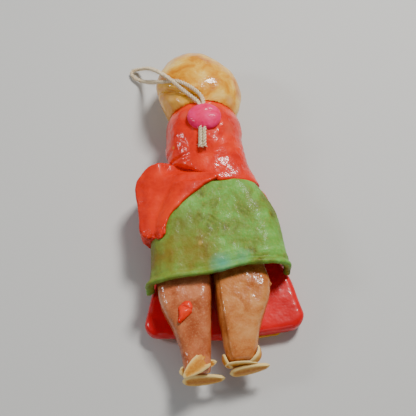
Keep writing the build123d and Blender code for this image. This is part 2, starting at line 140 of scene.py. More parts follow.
# ------------------------------------------------------------ twine
# One length of three-ply natural twine.  Both cut ends lie on the scarf under the clay button, and the
# doubled middle is the hanging loop, which falls over the headpiece to the table.
# The loose plies stand a little outside the twine's own diameter.
ply_radius = 0.37
ply_offset = 0.41  # from the twine's middle line to a ply's
ply_pitch = 3.4  # along one full turn of the twist
ply_sides = 8
twine_step = 0.3  # between two rings of a ply
fray_spread = 0.9  # how much further apart the plies lie at a cut end
fray_reach = 0.7
strand_pitch = 1.45  # between the two strands under the button

tail_a = [
    (-1.5, 16.2, 26.1),
    (-1.35, 18.6, 26.9),
    (-0.95, 22.2, 27.55),
    (-0.75, 26.9, 28.1),
    (-0.5, 31.4, 27.55),
]
loop_points = [
    (-0.1, 34.7, 26.4),
    (-0.7, 37.9, 25.9),
    (-2.4, 40.2, 26.5),
    (-5.2, 42.7, 26.7),
    (-7.7, 44.6, 26.4),
    (-10.0, 46.1, 25.5),
    (-12.7, 47.2, 23.9),
    (-15.4, 48.5, 21.8),
    (-18.2, 53.3, 15.0),
    (-20.9, 58.7, 7.5),
    (-23.8, 62.8, 2.6),
    (-26.5, 65.0, 1.5),
    (-28.0, 66.7, 1.35),
    (-28.4, 68.4, 1.35),
    (-27.3, 69.7, 1.4),
    (-24.6, 69.4, 2.2),
    (-21.2, 66.2, 7.0),
    (-18.4, 60.1, 14.0),
    (-16.0, 54.6, 19.6),
    (-13.7, 49.7, 24.0),
    (-11.9, 46.2, 26.4),
    (-10.4, 44.3, 26.6),
    (-8.4, 42.4, 25.9),
    (-6.1, 40.0, 25.7),
    (-3.6, 37.5, 25.6),
    (-1.55, 34.7, 26.4),
]
tail_b = [(x - strand_pitch, y, z) for x, y, z in reversed(tail_a)]
route = tail_a + loop_points + tail_b


def nurbs_points(points):
    """Points along one smooth spline whose control points are the route's, in metres."""
    curve = bpy.data.curves.new("route", "CURVE")
    curve.dimensions = "3D"
    spline = curve.splines.new("NURBS")
    spline.points.add(len(points) - 1)
    for control, (x, y, z) in zip(spline.points, points):
        control.co = (x * MM, y * MM, z * MM, 1)
    spline.order_u = 3
    spline.use_endpoint_u = True
    spline.resolution_u = 24
    holder = bpy.data.objects.new("route", curve)
    bpy.context.collection.objects.link(holder)
    bpy.context.view_layer.update()
    line = bpy.data.meshes.new_from_object(holder)
    spots = [vertex.co.copy() for vertex in line.vertices]
    bpy.data.objects.remove(holder)
    return spots


def evenly(points, step):
    """The same line with points step apart."""
    spaced = [points[0]]
    carried = 0.0
    for before, after in zip(points, points[1:]):
        run = (after - before).length
        reach = step - carried
        while reach <= run and run > 0:
            spaced.append(before.lerp(after, reach / run))
            reach += step
        carried = run - (reach - step)
    return spaced + [points[-1]]


twine_line = evenly(nurbs_points(route), twine_step * MM)


def sideways_along(points):
    """A side and an up vector across the line at each point, turned as little as possible."""
    found = []
    side = Vector((1, 0, 0))
    for index in range(len(points)):
        ahead = points[min(index + 1, len(points) - 1)]
        behind = points[max(index - 1, 0)]
        tangent = (ahead - behind).normalized()
        side = (side - tangent * side.dot(tangent)).normalized()
        found.append((side, tangent.cross(side)))
    return found


def object_from(name, mesh):
    """A smooth-shaded object that takes over a bmesh."""
    data = bpy.data.meshes.new(name)
    mesh.to_mesh(data)
    mesh.free()
    data.shade_smooth()
    made = bpy.data.objects.new(name, data)
    bpy.context.collection.objects.link(made)
    return made


def plied_twine(name, line):
    """Three round plies twisted about the line, which spread a little at their cut ends."""
    mesh = bmesh.new()
    across = sideways_along(line)
    whole = len(line) * twine_step
    for ply in range(3):
        rings = []
        for index, (point, (side, up)) in enumerate(zip(line, across)):
            travelled = index * twine_step
            splay = 1 + fray_spread * exp(-min(travelled, whole - travelled) / fray_reach)
            turn = 2 * pi * (travelled / ply_pitch + ply / 3)
            centre = point + (side * cos(turn) + up * sin(turn)) * ply_offset * splay * MM
            swell = 1 + 0.12 * noise.noise(Vector((travelled * 0.9, ply * 7.3, 0)))
            ring = []
            for k in range(ply_sides):
                angle = 2 * pi * k / ply_sides + turn
                out = side * cos(angle) + up * sin(angle)
                ring.append(mesh.verts.new(centre + out * ply_radius * swell * MM))
            rings.append(ring)
        for low, high in zip(rings, rings[1:]):
            for k in range(ply_sides):
                after = (k + 1) % ply_sides
                mesh.faces.new((low[k], low[after], high[after], high[k]))
        mesh.faces.new(reversed(rings[0]))
        mesh.faces.new(rings[-1])
    bmesh.ops.recalc_face_normals(mesh, faces=mesh.faces)
    return object_from(name, mesh)


# Natural cotton or jute fibre: dull pale straw with next to no shine.  The streaks are drawn much coarser
# than single fibres, so that they show.
streak_width = 0.385
twine_fibre, tree, shader = new_material("natural_twine_fibre")
place = put(tree, "ShaderNodeTexCoord").outputs["Object"]
streaks = put(tree, "ShaderNodeTexNoise", {"Vector": place, "Scale": 1000 / streak_width, "Detail": 3.0})
tone = put(
    tree,
    "ShaderNodeValToRGB",
    {"Fac": streaks.outputs["Fac"]},
    stops=[(0.3, "D8BC8C"), (0.68, "FFF2D6")],
)
tree.links.new(tone.outputs["Color"], shader.inputs["Base Color"])
fuzz = put(tree, "ShaderNodeBump", {"Height": streaks.outputs["Fac"], "Strength": 0.5, "Distance": 0.1 * MM})
tree.links.new(fuzz.outputs["Normal"], shader.inputs["Normal"])
shader.inputs["Roughness"].default_value = 0.9
shader.inputs["Specular IOR Level"].default_value = 0.15
shader.inputs["Sheen Weight"].default_value = 0.08


def bake_modifiers(obj):
    """Turns the evaluated shape into the object's own plain mesh."""
    bpy.context.view_layer.update()
    graph = bpy.context.evaluated_depsgraph_get()
    mesh = bpy.data.meshes.new_from_object(obj.evaluated_get(graph))
    mesh.name = obj.name
    obj.modifiers.clear()
    obj.data = mesh


def grow(obj, tree, values):
    """Runs a node group on the object with its named inputs set, and keeps the result as a plain mesh."""
    modifier = obj.modifiers.new("grown", "NODES")
    modifier.node_group = tree
    for item in tree.interface.items_tree:
        if item.in_out == "INPUT" and item.name in values:
            modifier[item.identifier] = values[item.name]
    bake_modifiers(obj)


# Loose fibres stand off the plies: short bent hairs scattered over the surface, drawn about three times
# as thick as real ones so that they show.
fibres = bpy.data.node_groups.new("loose_fibres", "GeometryNodeTree")
fibres.interface.new_socket("Geometry", in_out="INPUT", socket_type="NodeSocketGeometry")
fibres.interface.new_socket("Fibres per square metre", in_out="INPUT", socket_type="NodeSocketFloat")
fibres.interface.new_socket("Fibre length", in_out="INPUT", socket_type="NodeSocketFloat")
fibres.interface.new_socket("Geometry", in_out="OUTPUT", socket_type="NodeSocketGeometry")
given = put(fibres, "NodeGroupInput")
scatter = put(
    fibres,
    "GeometryNodeDistributePointsOnFaces",
    {"Mesh": given.outputs["Geometry"], "Density": given.outputs["Fibres per square metre"], "Seed": 4},
)
hair_end = put(fibres, "ShaderNodeCombineXYZ", {"X": given.outputs["Fibre length"], "Z": 0.25 * MM})
hair_line = put(
    fibres,
    "GeometryNodeCurvePrimitiveBezierSegment",
    {
        "Resolution": 4,
        "Start": (0, 0, 0),
        "Start Handle": (0, 0, 0.2 * MM),
        "End Handle": (0.3 * MM, 0, 0.4 * MM),
        "End": hair_end.outputs["Vector"],
    },
)
hair_round = put(fibres, "GeometryNodeCurvePrimitiveCircle", {"Resolution": 3, "Radius": 0.03 * MM})
hair = put(
    fibres,
    "GeometryNodeCurveToMesh",
    {"Curve": hair_line.outputs["Curve"], "Profile Curve": hair_round.outputs["Curve"]},
)
turns = put(
    fibres,
    "FunctionNodeRandomValue",
    {"Max": (0.7, 0.7, 2 * pi), "Seed": 9},
    data_type="FLOAT_VECTOR",
)
lying = put(
    fibres,
    "FunctionNodeRotateRotation",
    {"Rotation": scatter.outputs["Rotation"], "Rotate By": turns.outputs["Value"]},
    rotation_space="LOCAL",
)
hair_sizes = put(fibres, "FunctionNodeRandomValue", {"Min": 0.5, "Max": 1.3, "Seed": 2}, data_type="FLOAT")
hairs = put(
    fibres,
    "GeometryNodeInstanceOnPoints",
    {
        "Points": scatter.outputs["Points"],
        "Instance": hair.outputs["Mesh"],
        "Rotation": lying.outputs["Rotation"],
        "Scale": hair_sizes.outputs[1],
    },
)
joined = put(fibres, "GeometryNodeJoinGeometry")
fibres.links.new(given.outputs["Geometry"], joined.inputs["Geometry"])
fibres.links.new(hairs.outputs["Instances"], joined.inputs["Geometry"])
solid_hairs = put(fibres, "GeometryNodeRealizeInstances", {"Geometry": joined.outputs["Geometry"]})
dressed = put(
    fibres,
    "GeometryNodeSetMaterial",
    {"Geometry": solid_hairs.outputs["Geometry"], "Material": twine_fibre},
)
put(fibres, "NodeGroupOutput", {"Geometry": dressed.outputs["Geometry"]})

twine = plied_twine("twine", twine_line)
twine.data.materials.append(twine_fibre)
grow(twine, fibres, {"Fibres per square metre": 1.6e6, "Fibre length": 0.7 * MM})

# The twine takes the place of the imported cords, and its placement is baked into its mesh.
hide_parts("cord_tails", "cord_loop")
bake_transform(twine)

# ------------------------------------------------------------ skirt and its trim
# The skirt is a thick slab of red modelling dough with its corners rounded off, the lowest layer of the
# doll.  A thin roll of yellow dough is pressed under its hem.  Both were varnished after drying.
table_gap = 0.02


def soften(obj, rounds):
    """Smooths a piece's surface, as a damp finger does."""
    smooth = obj.modifiers.new("smooth", "SMOOTH")
    smooth.iterations = rounds
    bake_modifiers(obj)


def remesh(obj, grain, rounds):
    """Gives a piece one even skin with points about grain apart, and smooths it."""
    even = obj.modifiers.new("even", "REMESH")
    even.mode = "VOXEL"
    even.voxel_size = grain * MM
    soften(obj, rounds)
    obj.data.shade_smooth()


def clay_lump(*nodes, grain, rounds):
    """One soft lump in the place of the named solids."""
    lump = bmesh.new()
    for node in nodes:
        lump.from_mesh(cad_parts[node].data)
    bmesh.ops.remove_doubles(lump, verts=lump.verts, dist=0.001 * MM)
    made = object_from(nodes[0] + "_clay", lump)
    remesh(made, grain, rounds)
    return made


def press(obj, move):
    """Presses a lump by hand: move gives each point's shift in millimetres from its place and normal."""
    found = [(vertex.co / MM, vertex.normal.copy()) for vertex in obj.data.vertices]
    pressed = []
    for place, normal in found:
        moved = place + move(place, normal)
        pressed += [moved.x * MM, moved.y * MM, max(moved.z, table_gap) * MM]
    obj.data.vertices.foreach_set("co", pressed)
    obj.data.update()


def lumps(place, size, seed=0):
    """Smooth unevenness between about -1 and 1 that repeats over the given size in millimetres."""
    return noise.noise(place / size + Vector((seed, 0, 0)))


def uneven(place, *layers):
    """Unevenness in millimetres, added up from layers that are each a depth, a size and a seed."""
    return sum(depth * lumps(place, size, seed) for depth, size, seed in layers)


def near(value, middle, reach):
    """1 at the middle, falling smoothly to 0 a few reaches away."""
    return exp(-(((value - middle) / reach) ** 2))


def step_up(value, low, high):
    """0 below low, 1 above high and smooth between."""
    t = min(max((value - low) / (high - low), 0), 1)
    return t * t * (3 - 2 * t)


def along_rows(rows, y):
    """A size read from rows of (y, size), straight between them; the rows go down in y."""
    if y >= rows[0][0]:
        return rows[0][1]
    for (y0, v0), (y1, v1) in zip(rows, rows[1:]):
        if y >= y1:
            return v0 + (v1 - v0) * (y0 - y) / (y0 - y1)
    return rows[-1][1]


# A Mix node shows its colours as inputs 6 and 7 and its mixed colour as output 2.
LOWER, UPPER, MIXED = 6, 7, 2


def dough(name, colours, patch, gloss=0.8, dull=0.42, grain=0.5, dents=1.6, dent_depth=0.25, speck=None):
    """Dried salt or flour dough, dyed or painted and then varnished: patchy colour and a fine grain under a
    clear coat.  The colours run from the darkest patches to the lightest.  Patch, grain and dents are sizes
    in millimetres, the grain drawn coarser than flour so that it shows, and speck is the colour, strength
    and size of bran specks."""
    material, tree, shader = new_material(name)
    place = put(tree, "ShaderNodeTexCoord").outputs["Object"]
    patches = put(
        tree,
        "ShaderNodeTexNoise",
        {"Vector": place, "Scale": 1000 / patch, "Detail": 5.0, "Roughness": 0.62, "Distortion": 0.5},
    )
    darkest, lightest = 0.32, 0.68
    apart = (lightest - darkest) / (len(colours) - 1)
    stops = [(darkest + apart * index, code) for index, code in enumerate(colours)]
    colour = put(tree, "ShaderNodeValToRGB", {"Fac": patches.outputs["Fac"]}, stops=stops).outputs["Color"]
    if speck:
        code, strength, size = speck
        spots = put(
            tree,
            "ShaderNodeTexNoise",
            {"Vector": place, "Scale": 1000 / size, "Detail": 2.0, "Roughness": 0.7},
        )
        cover = put(
            tree,
            "ShaderNodeMapRange",
            {"Value": spots.outputs["Fac"], "From Min": 0.52, "From Max": 0.66, "To Max": strength},
        )
        mixed = put(
            tree,
            "ShaderNodeMix",
            {"Factor": cover.outputs["Result"], LOWER: colour, UPPER: hex_linear(code)},
            data_type="RGBA",
        )
        colour = mixed.outputs[MIXED]
    tree.links.new(colour, shader.inputs["Base Color"])
    grains = put(tree, "ShaderNodeTexNoise", {"Vector": place, "Scale": 1000 / grain, "Detail": 3.0})
    dent = put(
        tree,
        "ShaderNodeTexNoise",
        {"Vector": place, "Scale": 1000 / dents, "Detail": 2.0, "Roughness": 0.55},
    )
    low = put(
        tree,
        "ShaderNodeBump",
        {"Height": dent.outputs["Fac"], "Distance": dent_depth * MM, "Strength": 0.8},
    )
    fine = put(
        tree,
        "ShaderNodeBump",
        {
            "Height": grains.outputs["Fac"],
            "Distance": 0.05 * MM,
            "Strength": 0.55,
            "Normal": low.outputs["Normal"],
        },
    )
    tree.links.new(fine.outputs["Normal"], shader.inputs["Normal"])
    tree.links.new(low.outputs["Normal"], shader.inputs["Coat Normal"])
    worn = put(
        tree,
        "ShaderNodeMapRange",
        {"Value": patches.outputs["Fac"], "To Min": dull - 0.1, "To Max": dull + 0.12},
    )
    tree.links.new(worn.outputs["Result"], shader.inputs["Roughness"])
    shader.inputs["Coat Weight"].default_value = gloss
    shader.inputs["Coat Roughness"].default_value = 0.12
    shader.inputs["Specular IOR Level"].default_value = 0.2
    shader.inputs["IOR"].default_value = 1.48
    return material, tree, shader, place, colour


def dress(obj, material, slot, *nodes):
    """Gives a finished piece its paint, its body and the solids that it stands for; slot is not used."""
    obj.data.materials.clear()
    obj.data.materials.append(material)
    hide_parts(*nodes)
    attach(obj, "figure")


# How much the slab's free edge bulges past a straight line, from the waist to the hem.
skirt_bulge = [(-16, 0.4), (-27, 1.4), (-31.6, 1.8), (-37.5, 1.4), (-43.5, 1.1), (-47, 0.6), (-50, 0.3)]


def press_skirt(place, normal):
    """Bulges the edge on the doll's right, and leaves shallow palm marks."""
    bulge = along_rows(skirt_bulge, place.y) * step_up(place.x, 12, 22)
    return normal * uneven(place, (0.35, 9, 0), (0.12, 3, 5)) + Vector((bulge, 0, 0))


# Red dye worked well in, so nearly one colour, and a thin even varnish that shines in broad patches.
skirt = clay_lump("skirt", grain=0.5, rounds=8)
press(skirt, press_skirt)
red_dough, *_ = dough(
    "red_varnished_dough",
    ["C60010", "E00812", "F01016"],
    patch=14,
    gloss=0.4,
    dull=0.38,
    dents=4.0,
    dent_depth=0.3,
)
dress(skirt, red_dough, "red_clay", "skirt")


def press_trim(place, normal):
    """Tucks the roll under the hem, but less in the one stretch where it peeps out."""
    tucked = 1 - step_up(place.x, 5, 9) * (1 - step_up(place.x, 19, 22))
    under = (0.9 + 1.4 * tucked) * (1 - step_up(place.y, -46, -43))
    return Vector((0, under, 0)) + normal * 0.1 * lumps(place, 2)


# Strong yellow with lighter streaks where the dye was kneaded in, under glossy varnish.
trim = clay_lump("skirt_trim", grain=0.35, rounds=4)
press(trim, press_trim)
yellow_dough, *_ = dough("yellow_varnished_dough", ["E09A18", "F0B828", "F8D050"], patch=5, gloss=0.7)
dress(trim, yellow_dough, "yellow_clay", "skirt_trim")

# ------------------------------------------------------------ legs
# Two flattened rolls of brown dough laid side by side on the skirt, each on a toothpick.  The maker cut
# their sides straight, so the right one keeps a narrow facet towards the left one, and varnished them.


def press_left_leg(place, normal):
    """Shallow finger marks."""
    return normal * uneven(place, (0.3, 6, 3), (0.1, 1.6, 8))


def press_right_leg(place, normal):
    """The flat cut along the inner side, and a nib of dough pulled out beside the knee."""
    nib = 0.9 * near(place.y, -33.8, 0.8) * near(place.z, 14, 1.6) * step_up(normal.x, 0.3, 0.8)
    facet = -0.5 * step_up(-normal.x, 0.35, 0.7) * step_up(place.z, 13, 17)
    return normal * (uneven(place, (0.3, 6, 9), (0.1, 1.6, 4)) + facet) + Vector((nib, 0, 0))


# Wholemeal brown with paler bran specks, varnished over finger marks.
for leg_name, press_leg, leg_colours in [
    ("left_leg", press_left_leg, ["A24A22", "C0683C", "D68456"]),
    ("right_leg", press_right_leg, ["AC561E", "CC7E3E", "DE9C5C"]),
]:
    leg = clay_lump(leg_name, grain=0.42, rounds=7)
    press(leg, press_leg)
    brown_dough, *_ = dough(
        leg_name + "_brown_dough",
        leg_colours,
        patch=7,
        gloss=0.6,
        dull=0.38,
        dents=2.4,
        dent_depth=0.35,
        speck=("DDA068", 0.3, 0.6),
    )
    dress(leg, brown_dough, "brown_clay", leg_name)

# ------------------------------------------------------------ body, head and face
# A block of orange dough makes the body and a ball of brown dough the head; both are nearly hidden.  The
# face is plain pellets pressed on the front: a nose, two eyes and a mouth.


def middle_of(node):
    """The middle of a solid's box, in millimetres."""
    low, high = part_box(node)
    return (low + high) / 2 / MM


# Orange dough under a worn varnish, duller than the sheets laid over it.
torso = clay_lump("torso", grain=0.5, rounds=5)
press(torso, lambda place, normal: normal * 0.25 * lumps(place, 5))
body_dough, *_ = dough(
    "orange_varnished_dough",
    ["D02206", "EA300A", "F84616"],
    patch=6,
    gloss=0.4,
    dents=2.0,
    dent_depth=0.35,
)
dress(torso, body_dough, "orange_clay", "torso")

# The same wholemeal brown as the legs, a shade darker, for the head, the nose and the hand.
head = clay_lump("head", grain=0.45, rounds=4)
press(head, lambda place, normal: normal * 0.15 * lumps(place, 6))
skin_dough, *_ = dough(
    "skin_brown_dough",
    ["9A5838", "B06C48", "C08058"],
    patch=6,
    gloss=0.7,
    speck=("D09868", 0.4, 0.7),
)
dress(head, skin_dough, "brown_clay", "head")

nose = clay_lump("nose", grain=0.15, rounds=3)
dress(nose, skin_dough, "brown_clay", "nose")

mouth_middle = middle_of("lips")


def press_lips(place, normal):
    """A shallow groove across the front parts the lips."""
    return normal * -0.3 * near(place.y, mouth_middle.y, 0.18) * step_up(-normal.z, 0.2, 0.7)


# A darker red dough with the same gloss as the skin.
lips = clay_lump("lips", grain=0.12, rounds=3)
press(lips, press_lips)
lip_dough, *_ = dough("lip_red_dough", ["A01A24", "B82830", "C83A3C"], patch=2, gloss=0.7)
dress(lips, lip_dough, "red_clay", "lips")

# Off-white dough with a dark pupil dotted on each eye in paint, glossy enough to catch a light.
pupil_apart = 3.9  # from the middle of the face to a pupil
pupil_radius = 0.6
pupil_edge = 0.1
eyes = clay_lump("eyes", grain=0.12, rounds=3)
white_dough, tree, shader, place, colour = dough("white_eye_dough", ["DCD6C8", "E8E4D8", "F2EFE6"], patch=2)
eyes_middle = middle_of("eyes") * MM
spot = put(tree, "ShaderNodeSeparateXYZ", {"Vector": place})
across = put(tree, "ShaderNodeMath", {0: spot.outputs["X"], 1: eyes_middle.x}, operation="SUBTRACT")
either_side = put(tree, "ShaderNodeMath", {0: across.outputs[0]}, operation="ABSOLUTE")
beside = put(tree, "ShaderNodeMath", {0: either_side.outputs[0], 1: pupil_apart * MM}, operation="SUBTRACT")
above = put(tree, "ShaderNodeMath", {0: spot.outputs["Y"], 1: eyes_middle.y}, operation="SUBTRACT")
from_pupil = put(tree, "ShaderNodeCombineXYZ", {"X": beside.outputs[0], "Y": above.outputs[0]})
distance = put(tree, "ShaderNodeVectorMath", {0: from_pupil.outputs[0]}, operation="LENGTH")
white_part = put(
    tree,
    "ShaderNodeMapRange",
    {
        "Value": distance.outputs["Value"],
        "From Min": pupil_radius * MM,
        "From Max": (pupil_radius + pupil_edge) * MM,
    },
)
eye_paint = put(
    tree,
    "ShaderNodeMix",
    {"Factor": white_part.outputs["Result"], LOWER: hex_linear("2A1810"), UPPER: colour},
    data_type="RGBA",
)
tree.links.new(eye_paint.outputs[MIXED], shader.inputs["Base Color"])
dress(eyes, white_dough, "white_clay", "eyes")

# ------------------------------------------------------------ cloak
# A rolled-out sheet of green dough bent over the back.  Its hem is rolled into a soft lip, its two lower
# corners flare out, and brown and blue from the maker's fingers mottle the green; brown shade is painted
# along the left sleeve's edge.

# How far the hem lies above its straight line, from the doll's right to its left.
hem_rise = [
    (26, 2.2), (17, 2.2), (10, 2.5), (4, 1.5), (0, 0.8),
    (-5, 0.0), (-15, -0.2), (-20, -0.9), (-24, -1.0), (-26, -0.9),
]
cloak_low, cloak_high = (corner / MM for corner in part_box("cloak"))


def press_cloak(place, normal):
    """Waves the hem, rolls its lip, flares and droops its two corners, and dents the sheet."""
    hem = along_rows(hem_rise, place.x) * (1 - step_up(place.y, -30.5, -20))
    lip = 0.5 * near(place.y, cloak_low.y + 0.6, 1.0) - 0.25 * near(place.y, cloak_low.y + 2.4, 0.8)
    side = step_up(abs(place.x), 20, 25)
    flare = side * (1 - step_up(place.y, -31, -26)) * (-0.2 if place.x > 0 else -0.9)
    at_corner = step_up(abs(place.x), 22, 25.5) * (1 - step_up(place.y, -31, -28))
    droop = -0.8 * at_corner * (1 - step_up(place.z, 9, 13))
    outside = 1 if normal.z > -0.2 or side > 0.5 else 0.3
    dent = uneven(place, (0.45, 10, 1), (0.18, 3.2, 7), (0.07, 1.1, 2))
    return normal * (dent + lip * outside) + Vector((flare, hem + droop, 0))


# Dyed green dough, hardly varnished: satin, mottled with olive and brown, with yellow bran specks, and
# painted shade along the left sleeve's edge.
cloak = clay_lump("cloak", grain=0.42, rounds=5)
press(cloak, press_cloak)
green_dough, *green_parts = dough(
    "green_mottled_dough",
    ["586018", "6E8C30", "6CA840", "84C05C"],
    patch=8,
    gloss=0.05,
    dull=0.5,
    grain=0.6,
    dents=1.5,
    speck=("C0A848", 0.22, 0.9),
)
patch_edge_grain = 3.57


def stain_or_painted_light(parts, stains_and_light_patches):
    """Soft round patches of colour with ragged edges on a dough, some real stains and some painted light and
    shade, each a colour, a place, a radius and a strength.
    """
    tree, shader, place, colour = parts
    for code, middle, radius, strength in stains_and_light_patches:
        centre = tuple(c * MM for c in middle)
        away = put(tree, "ShaderNodeVectorMath", {0: place, 1: centre}, operation="SUBTRACT")
        reach = put(tree, "ShaderNodeVectorMath", {0: away.outputs["Vector"]}, operation="LENGTH")
        ragged = put(
            tree,
            "ShaderNodeTexNoise",
            {"Vector": place, "Scale": 1000 / patch_edge_grain, "Detail": 3.0},
        )
        wobble = put(
            tree,
            "ShaderNodeMath",
            {0: ragged.outputs["Fac"], 1: radius * 0.9 * MM},
            operation="MULTIPLY",
        )
        edge = put(tree, "ShaderNodeMath", {0: reach.outputs["Value"], 1: wobble.outputs[0]}, operation="ADD")
        cover = put(
            tree,
            "ShaderNodeMapRange",
            {
                "Value": edge.outputs[0],
                "From Min": radius * 0.6 * MM,
                "From Max": radius * 1.5 * MM,
                "To Min": strength,
                "To Max": 0.0,
            },
        )
        mixed = put(
            tree,
            "ShaderNodeMix",
            {"Factor": cover.outputs["Result"], LOWER: colour, UPPER: hex_linear(code)},
            data_type="RGBA",
        )
        colour = mixed.outputs[MIXED]
    tree.links.new(colour, shader.inputs["Base Color"])


stain_or_painted_light(
    green_parts,
    [
        ("86681C", (-20, -24, 18), 13, 0.85),
        ("866A1C", (-8, -23, 22), 11, 0.8),
        ("6E6420", (-11, -12, 22), 7, 0.7),
        ("46A088", (1, -28, 22), 5, 0.8),
        ("4C9A80", (8, -26, 22), 4, 0.6),
        # Painted shade: these two brown spots sit along the left sleeve's edge, in the crevice between sleeve
        # and cloak.
        ("8A7038", (-8, -2, 21), 2.6, 0.7),
        ("9A3A2C", (-7.5, 0.2, 21), 0.9, 0.8),
        ("D8B85A", (-6, -20, 23), 1.0, 0.8),
        ("D0B04C", (-9, -10, 22), 0.9, 0.7),
        ("7A8A38", (20, -18, 15), 4, 0.6),
        ("C0A83C", (23, -22, 12), 2.5, 0.7),
        ("6E5A2C", (-13, -27.5, 21), 1.6, 0.7),
    ],
)
dress(cloak, green_dough, "green_clay", "cloak")

# ------------------------------------------------------------ sleeves and hand
# The left sleeve is a broad strip of orange dough laid over the shoulder, torn off at its lower end.  The
# right sleeve crosses the front to a small brown hand, and shows only as an edge beside the cloak.
sleeve_outline = [
    (-12.0, 13.2), (-15.4, 14.6), (-18.0, 14.2), (-21.7, 13.4), (-25.0, 11.2),
    (-27.2, 8.4), (-28.1, 5.6), (-28.0, 3.0), (-27.5, -1.0), (-27.2, -5.4),
    (-27.0, -12.2), (-25.2, -14.8), (-22.5, -15.6), (-20.0, -17.0), (-17.9, -16.0),
    (-17.6, -13.0), (-16.7, -10.5), (-14.8, -7.5), (-10.7, -4.0), (-6.5, -0.8),
    (-2.8, 2.0), (0.6, 3.8), (3.0, 5.4), (-3.5, 9.5), (-9.8, 12.5),
]
sleeve_low, sleeve_high = 9.0, 28.0
sleeve_thickness = 1.5

# Half the cloak's width at places down the back, its middle line and the radius that it turns down with.
cloak_halves = [(3.5, 17.0), (-1, 19.6), (-8, 22.3), (-16, 23.7), (-24, 24.4), (-31, 25.5)]
cloak_middle = 0.2
cloak_turn = 9.0


def cloak_height(x, y):
    """Height of the cloak's back at a place, over the table."""
    flat = along_rows(cloak_halves, y) - cloak_turn
    past = min(max(abs(x - cloak_middle) - flat, 0), cloak_turn)
    return cloak_high.z - cloak_turn + sqrt(cloak_turn**2 - past**2)


def slab(name, outline, low, high):
    """A block with the given outline between two heights, in millimetres."""
    mesh = bmesh.new()
    foot = mesh.faces.new([mesh.verts.new((x * MM, y * MM, low * MM)) for x, y in outline])
    risen = bmesh.ops.extrude_face_region(mesh, geom=[foot])["geom"]
    raised = [item for item in risen if isinstance(item, bmesh.types.BMVert)]
    bmesh.ops.translate(mesh, vec=(0, 0, (high - low) * MM), verts=raised)
    bmesh.ops.recalc_face_normals(mesh, faces=mesh.faces)
    return object_from(name, mesh)


def drape_sleeve(place, normal):
    """Lays the strip's upper side on the cloak, under the scarf and down towards its outer edge."""
    slope = 24.0 - (3 - place.x) * 0.13
    over_cloak = cloak_height(place.x, place.y) + sleeve_thickness if place.y < 4.5 else 0
    outer_fall = 1.6 * step_up(-place.x, 22, 28)
    under_scarf = 3.4 * step_up(place.x, -19, -14) * step_up(place.y, 7, 11)
    top = max(slope, over_cloak) - outer_fall - under_scarf
    return Vector((0, 0, min(place.z, top) - place.z))


def press_left_sleeve(place, normal):
    """Finger marks, a roughly torn end and a low ridge along the shoulder."""
    torn = 1 - step_up(place.y, -14.5, -11)
    dent = uneven(place, (0.35, 7, 4), (0.12, 2.2, 6), (0.55 * torn, 1.3, 1))
    shoulder = 0.4 * near(place.y, 15.5, 1.2) * near(place.x, -20, 3)
    return normal * (dent + shoulder)


# The same orange as the body, but barely varnished: satin, with a fine dry grain.
left_sleeve = slab("left_sleeve_clay", sleeve_outline, sleeve_low, sleeve_high)
remesh(left_sleeve, grain=0.5, rounds=0)
press(left_sleeve, drape_sleeve)
remesh(left_sleeve, grain=0.42, rounds=16)
press(left_sleeve, press_left_sleeve)
sleeve_dough, *_ = dough(
    "orange_satin_dough",
    ["CE1E00", "E62A04", "F63C0C"],
    patch=9,
    gloss=0.15,
    dull=0.46,
    grain=0.4,
    dents=1.2,
    dent_depth=0.18,
)
dress(left_sleeve, sleeve_dough, "orange_clay", "left_sleeve")

right_sleeve = clay_lump("right_sleeve", grain=0.42, rounds=7)
press(right_sleeve, lambda place, normal: normal * uneven(place, (0.3, 6, 2), (0.1, 2, 3)))
dress(right_sleeve, sleeve_dough, "orange_clay", "right_sleeve")

finger_pitch = 1.5
fingers_middle = -11.4


def press_hand(place, normal):
    """Three shallow grooves part the fingers."""
    groove = sum(near(place.y, fingers_middle + k * finger_pitch, 0.3) for k in (-1, 0, 1))
    return normal * -0.28 * groove * step_up(-place.x, -2.2, 0.5)


right_hand = clay_lump("right_hand", grain=0.22, rounds=3)
press(right_hand, press_hand)
dress(right_hand, skin_dough, "brown_clay", "right_hand")

# ------------------------------------------------------------ head scarf
# One rolled sheet of orange dough wraps the head and runs down to the cloak.  It was brushed thick with
# varnish while soft, so it is the shiniest piece, with wet dimples and pinker, thinner patches.
scarf = clay_lump("head_scarf", "scarf_drape", grain=0.42, rounds=10)


def edge_rows(obj, pick):
    """How far the piece reaches in each half millimetre along Y, as rows that go down in y."""
    reach = {}
    for vertex in obj.data.vertices:
        spot = vertex.co / MM
        key = round(spot.y * 2) / 2
        reach[key] = max(reach.get(key, -100), pick(spot))
    return sorted(reach.items(), reverse=True)


# What the neck's sides and back reach now, and what they should reach; its ends keep their places.
neck_low, neck_high = 12, 24.5
left_neck_low = 15.5
scarf_middle = -0.9
right_found = edge_rows(scarf, lambda spot: spot.x - scarf_middle)
left_found = edge_rows(scarf, lambda spot: scarf_middle - spot.x)
back_found = edge_rows(scarf, lambda spot: spot.z)
right_end = along_rows(right_found, neck_low)
left_end = along_rows(left_found, left_neck_low)
right_wanted = [(neck_high, 14.4), (21, 14.7), (18.2, 14.9), (15.6, 15.2), (neck_low, right_end)]
left_wanted = [(neck_high, 14.6), (22, 15.0), (18.2, 14.9), (left_neck_low, left_end)]
back_wanted = [(y, along_rows(back_found, y)) for y in (neck_high, neck_low)]


def fill_neck(place, normal):
    """Fills the neck out to a straight side and back between the head and the shoulders."""
    if not neck_low < place.y < neck_high:
        return Vector()
    across = place.x - scarf_middle
    found, wanted = (right_found, right_wanted) if across > 0 else (left_found, left_wanted)
    if across < 0 and place.y < left_neck_low:
        wanted = left_found
    wider = across * (along_rows(wanted, place.y) / along_rows(found, place.y) - 1)
    missing = along_rows(back_wanted, place.y) - along_rows(back_found, place.y)
    return Vector((wider, 0, missing * step_up(place.z, 14, 24)))


